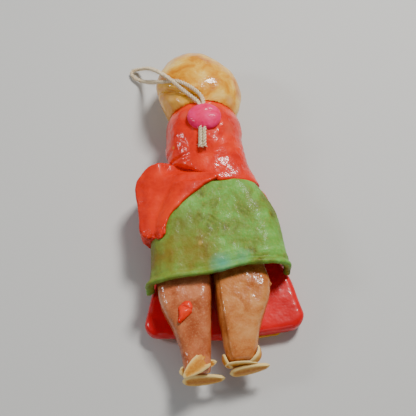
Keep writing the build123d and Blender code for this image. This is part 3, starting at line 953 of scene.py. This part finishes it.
def press_scarf(place, normal):
    """A fold and a notch at the left shoulder, a hollow between the shoulders, and wet dimples."""
    left = step_up(-place.x, 5, 12)
    fold = -0.45 * near(place.y, 16.2 + 0.12 * place.x, 0.6) * left
    notch = -0.7 * near(place.y, 18.0, 0.9) * step_up(-place.x, 12.5, 15)
    hollow = -0.5 * near(place.y, 14, 4) * near(place.x, 0, 5) * step_up(normal.z, 0.4, 0.8)
    wet_patch = step_up(lumps(place, 9, 11), -0.1, 0.25)
    dent = uneven(place, (0.45, 8, 3), (0.18, 2.8, 5), (0.13 * wet_patch, 0.95, 7))
    return normal * (dent + fold + notch + hollow)


# Orange dough under thick wet-looking varnish, with shallow close dimples that break its highlights up.
press(scarf, fill_neck)
soften(scarf, 14)
press(scarf, press_scarf)
scarf_dough, *scarf_parts = dough(
    "orange_wet_varnished_dough",
    ["D61A00", "F02802", "FF3C08"],
    patch=8,
    gloss=0.6,
    dull=0.36,
    dents=1.3,
    dent_depth=0.2,
)
stain_or_painted_light(
    scarf_parts,
    [
        ("F05A40", (8.5, 24, 24), 3.4, 0.6),
        ("F05C44", (-7.5, 31, 25), 2.4, 0.55),
        ("EE6048", (-1.5, 16.0, 26), 1.8, 0.6),
        ("F09A28", (-12.6, 19.5, 21), 0.8, 0.9),
    ],
)
dress(scarf, scarf_dough, "orange_clay", "head_scarf", "scarf_drape")

# ------------------------------------------------------------ headpiece
# A cap of cream dough only half kneaded into amber, so it is marbled, over a plainer roll that shows at
# the lower left; the joint between them is a soft crease.  Thick glossy varnish.


def crease_y(x):
    """The crease between the roll and the cap, as a height along the doll for each place across it."""
    return 39.9 + 0.029 * (x + 1) ** 2


def press_hat(place, normal):
    """Sinks the crease between the roll and the cap, swells both beside it, and dents the whole."""
    upper = step_up(place.z, 12, 18)
    off = place.y - crease_y(place.x)
    crease = (0.4 * near(off, 2.2, 1.5) - 1.2 * near(off, 0, 0.8)) * upper * step_up(-place.x, -1, 4)
    roll = 0.45 * near(off, -3.4, 2.2) * step_up(-place.x, -2, 8) * upper
    return normal * (uneven(place, (0.7, 11, 6), (0.25, 3.6, 2)) + crease + roll)


# Amber and cream dough folded together a few times, in streaks about 7 mm wide under glossy varnish, with an
# orange glow painted on the roll at the lower left for light bounced off the scarf.
hat = clay_lump("hat_base", "hat_crown", grain=0.45, rounds=8)
press(hat, press_hat)
marbled_dough, *marbled_parts = dough(
    "cream_and_amber_marbled_dough",
    ["CC7400", "E49610", "F6BA3C", "FFDA74"],
    patch=7.5,
    gloss=0.7,
    dull=0.36,
    dents=2.6,
    dent_depth=0.35,
)
stain_or_painted_light(
    marbled_parts,
    [
        # Painted bounce light: the next two orange patches on the roll at the lower left, beside the scarf.
        ("ECA850", (-12, 41, 20), 6, 0.85),
        ("E8A248", (-9, 38, 20), 4, 0.7),
        ("E2BC8C", (9, 38.5, 20), 3.0, 0.7),
        ("D08A30", (12.5, 44, 18), 2.0, 0.6),
    ],
)
dress(hat, marbled_dough, "cream_clay", "hat_base", "hat_crown")

# ------------------------------------------------------------ button over the twine
# A pellet of pink dough pressed flat over both strands holds them on the scarf.  It has a finger dimple
# and two drying cracks at its lower edge.
button_low, button_high = (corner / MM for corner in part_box("cord_button"))
button_middle = middle_of("cord_button")
button_rise = 2.6  # from the pellet's widest round to its top
pellet = bmesh.new()
bmesh.ops.create_icosphere(pellet, subdivisions=5, radius=1)
for vertex in pellet.verts:
    vertex.co.x = (button_middle.x + vertex.co.x * (button_high.x - button_low.x) / 2) * MM
    vertex.co.y = (button_middle.y + vertex.co.y * (button_high.y - button_low.y) / 2) * MM
    vertex.co.z = (button_high.z - button_rise + vertex.co.z * button_rise) * MM


def press_button(place, normal):
    """A finger dimple right of the middle, and two short cracks at the lower edge."""
    across = place - button_middle
    dimple = -0.5 * near(across.x, 2.2, 1.5) * near(across.y, 1.2, 0.8)
    crack = -0.35 * near(across.x + 0.5 * lumps(place, 1.5), 0.3, 0.22) * near(across.y, -4.4, 1.0)
    second = -0.3 * near(across.x + 0.5 * lumps(place, 1.5, 3), -1.4, 0.2) * near(across.y, -4.2, 0.7)
    back = step_up(normal.z, 0, 0.4)
    return normal * (uneven(place, (0.16, 2.6, 3), (0.05, 0.8, 5)) + (dimple + crack + second) * back)


# Bright pink dough, hardly varnished: satin, with a faint grain.
button = object_from("cord_button_clay", pellet)
press(button, press_button)
pink_dough, *_ = dough(
    "pink_satin_dough",
    ["E60050", "FA0C62", "FF2C7A"],
    patch=4,
    gloss=0.15,
    dull=0.5,
    grain=0.35,
    dents=1.0,
    dent_depth=0.12,
)
dress(button, pink_dough, "pink_clay", "cord_button")

# ------------------------------------------------------------ dab on the left leg
# A leftover crumb of orange dough, wide at its top and pinched to a tail, stuck on the calf.
dab_middle = middle_of("clay_dab")
dab_axis = Vector((0.47, 0.88, 0))


def press_dab(place, normal):
    """Narrows the lower half to a tail and folds a line across the top."""
    out = place - dab_middle
    run = out.dot(dab_axis)
    sideways = out - dab_axis * run
    sideways.z = 0
    pinch = -0.5 * step_up(-run, -1.5, 3)
    return sideways * pinch + normal * (0.25 * lumps(place, 1.6, 2) - 0.3 * near(run, 1.6, 0.35))


dab = clay_lump("clay_dab", grain=0.14, rounds=4)
press(dab, press_dab)
dress(dab, sleeve_dough, "orange_clay", "clay_dab")

# ------------------------------------------------------------ seeds of the shoes
# Hulled melon seeds glued round the feet: thin flat shells, pointed at one end, amber in the middle with a
# raised paler rim.  One broken half is stuck across the left heel, the rest stand against the soles.

# A seed's half width as a share of its width, at places along it from the point to the round end.
seed_halves = [
    (0.5, 0.0), (0.47, 0.1), (0.4, 0.2), (0.25, 0.35), (0.05, 0.47),
    (-0.15, 0.5), (-0.33, 0.43), (-0.44, 0.27), (-0.49, 0.1), (-0.5, 0.0),
]
seed_steps, seed_across = 44, 20


def seed_mesh(name, length, width, thickness, place, broken=False, bend=0.0):
    """A seed shell along X with its point at +X, then put in place; a broken one ends in a ragged edge."""
    shell = bmesh.new()
    rim = shell.verts.layers.float.new("rim")
    for side in (1, -1):
        rows = []
        for i in range(seed_steps + 1):
            u = -0.5 * cos(pi * i / seed_steps)
            row = []
            for k in range(seed_across + 1):
                v = -cos(pi * k / seed_across)
                x = u
                if broken:
                    ragged = -0.2 + 0.05 * sin(5 * v) + 0.03 * sin(13 * v + 1)
                    x = ragged + (u + 0.5) * (0.5 - ragged)
                y = v * along_rows(seed_halves, x) * width
                lips_and_keel = 0.5 * near(abs(v), 0.86, 0.13) + 0.1 * near(v, 0, 0.2)
                bulge = (1 - v * v) ** 0.5 * (0.62 + lips_and_keel)
                ends = min(1, 9 * (0.5 - abs(u))) ** 0.5
                curl = bend * (x * length) ** 2 + min(bend, 0.05) * 2 * y * y
                z = side * thickness / 2 * bulge * ends - curl
                vertex = shell.verts.new(place @ Vector((x * length, y, z)) * MM)
                vertex[rim] = max(abs(v) ** 3, step_up(abs(x), 0.36, 0.5))
                row.append(vertex)
            rows.append(row)
        for low, high in zip(rows, rows[1:]):
            for k in range(seed_across):
                shell.faces.new((low[k], low[k + 1], high[k + 1], high[k]))
    bmesh.ops.remove_doubles(shell, verts=shell.verts, dist=0.004 * MM)
    bmesh.ops.dissolve_degenerate(shell, edges=shell.edges, dist=0.001 * MM)
    bmesh.ops.recalc_face_normals(shell, faces=shell.faces)
    return object_from(name, shell)


def standing(x, y, z, turn, lean):
    """A seed stood across the foot and turned, its upper edge leaning towards the leg."""
    turned = Matrix.Rotation(radians(turn), 4, "Z")
    leaning = Matrix.Rotation(radians(90 - lean), 4, "X")
    return Matrix.Translation((x, y, z)) @ turned @ leaning


# Dried melon seed husk: amber in the middle and cream on the rim, with a fine fibrous mottle, half matt.
husk_fibre = 1.11
seed_husk, tree, shader = new_material("dried_melon_seed_husk")
place = put(tree, "ShaderNodeTexCoord").outputs["Object"]
rim_value = put(tree, "ShaderNodeAttribute", attribute_name="rim").outputs["Fac"]
fibre = put(
    tree,
    "ShaderNodeTexNoise",
    {"Vector": place, "Scale": 1000 / husk_fibre, "Detail": 4.0, "Roughness": 0.65},
)
part_rim = put(tree, "ShaderNodeMath", {0: rim_value, 1: 0.75}, operation="MULTIPLY")
mottle = put(tree, "ShaderNodeMath", {0: fibre.outputs["Fac"], 1: 0.45}, operation="MULTIPLY")
paleness = put(tree, "ShaderNodeMath", {0: part_rim.outputs[0], 1: mottle.outputs[0]}, operation="ADD")
tone = put(
    tree,
    "ShaderNodeValToRGB",
    {"Fac": paleness.outputs[0]},
    stops=[(0.18, "C87A24"), (0.42, "EAAC4C"), (0.75, "FBDC90")],
)
tree.links.new(tone.outputs["Color"], shader.inputs["Base Color"])
husk_bump = put(
    tree,
    "ShaderNodeBump",
    {"Height": fibre.outputs["Fac"], "Distance": 0.08 * MM, "Strength": 0.6},
)
tree.links.new(husk_bump.outputs["Normal"], shader.inputs["Normal"])
shader.inputs["Roughness"].default_value = 0.45
shader.inputs["Specular IOR Level"].default_value = 0.15
shader.inputs["Coat Weight"].default_value = 0.08
shader.inputs["Coat Roughness"].default_value = 0.25

# The broken half lies flat across the heel.  Each seed: its name, its solid, its length, width and
# thickness, and its place; the two that wrap round the right foot are bent.
heel_place = Matrix.Translation((-10.0, -60.2, 17.5)) @ Matrix.Rotation(radians(214), 4, "Z")
half_seed = {"broken": True, "bend": 0.03}
wrapped = {"bend": 0.17}
for seed_name, node, length, width, thickness, seed_place, shape in [
    ("left_sole_husk", "left_sole_seed", 14.6, 7.4, 2.0, standing(-8.6, -64.0, 9.4, 0, 17), {}),
    ("right_sole_husk", "right_sole_seed", 14.0, 6.8, 2.0, standing(7.2, -62.1, 10.6, 7, 15), {}),
    ("left_heel_husk", "left_heel_seed", 13.0, 5.8, 1.3, heel_place, half_seed),
    ("left_instep_husk", "left_instep_seed", 13.2, 5.2, 1.4, standing(-10.2, -60.2, 12.6, 12, 55), {}),
    ("right_insole_husk", "right_heel_seed", 11.2, 7.6, 1.3, standing(4.4, -60.6, 12.6, 0, 5), {}),
    ("right_outer_husk", "right_outer_seed", 7.6, 6.6, 1.3, standing(10.8, -58.8, 13.0, 60, 10), wrapped),
    ("right_inner_husk", "right_inner_seed", 5.6, 5.6, 1.3, standing(-1.2, -59.8, 12.6, -58, 8), wrapped),
]:
    seed = seed_mesh(seed_name, length, width, thickness, seed_place, **shape)
    dress(seed, seed_husk, "seed", node)

# ------------------------------------------------------------ toothpicks
# Birch toothpicks hold the legs and the head on the body; they are hidden inside the dough.
grain_width = 0.4
birch, tree, shader = new_material("birch_toothpick")
place = put(tree, "ShaderNodeTexCoord").outputs["Object"]
stretch = put(tree, "ShaderNodeMapping", {"Vector": place, "Scale": (1, 0.08, 1)})
wood_grain = put(
    tree,
    "ShaderNodeTexNoise",
    {"Vector": stretch.outputs["Vector"], "Scale": 1000 / grain_width, "Detail": 3.0},
)
tone = put(
    tree,
    "ShaderNodeValToRGB",
    {"Fac": wood_grain.outputs["Fac"]},
    stops=[(0, "C9A671"), (1, "E8D3A8")],
)
tree.links.new(tone.outputs["Color"], shader.inputs["Base Color"])
shader.inputs["Roughness"].default_value = 0.7
for node in ("neck_stick", "left_leg_stick", "right_leg_stick"):
    for material_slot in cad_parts[node].material_slots:
        material_slot.material = birch
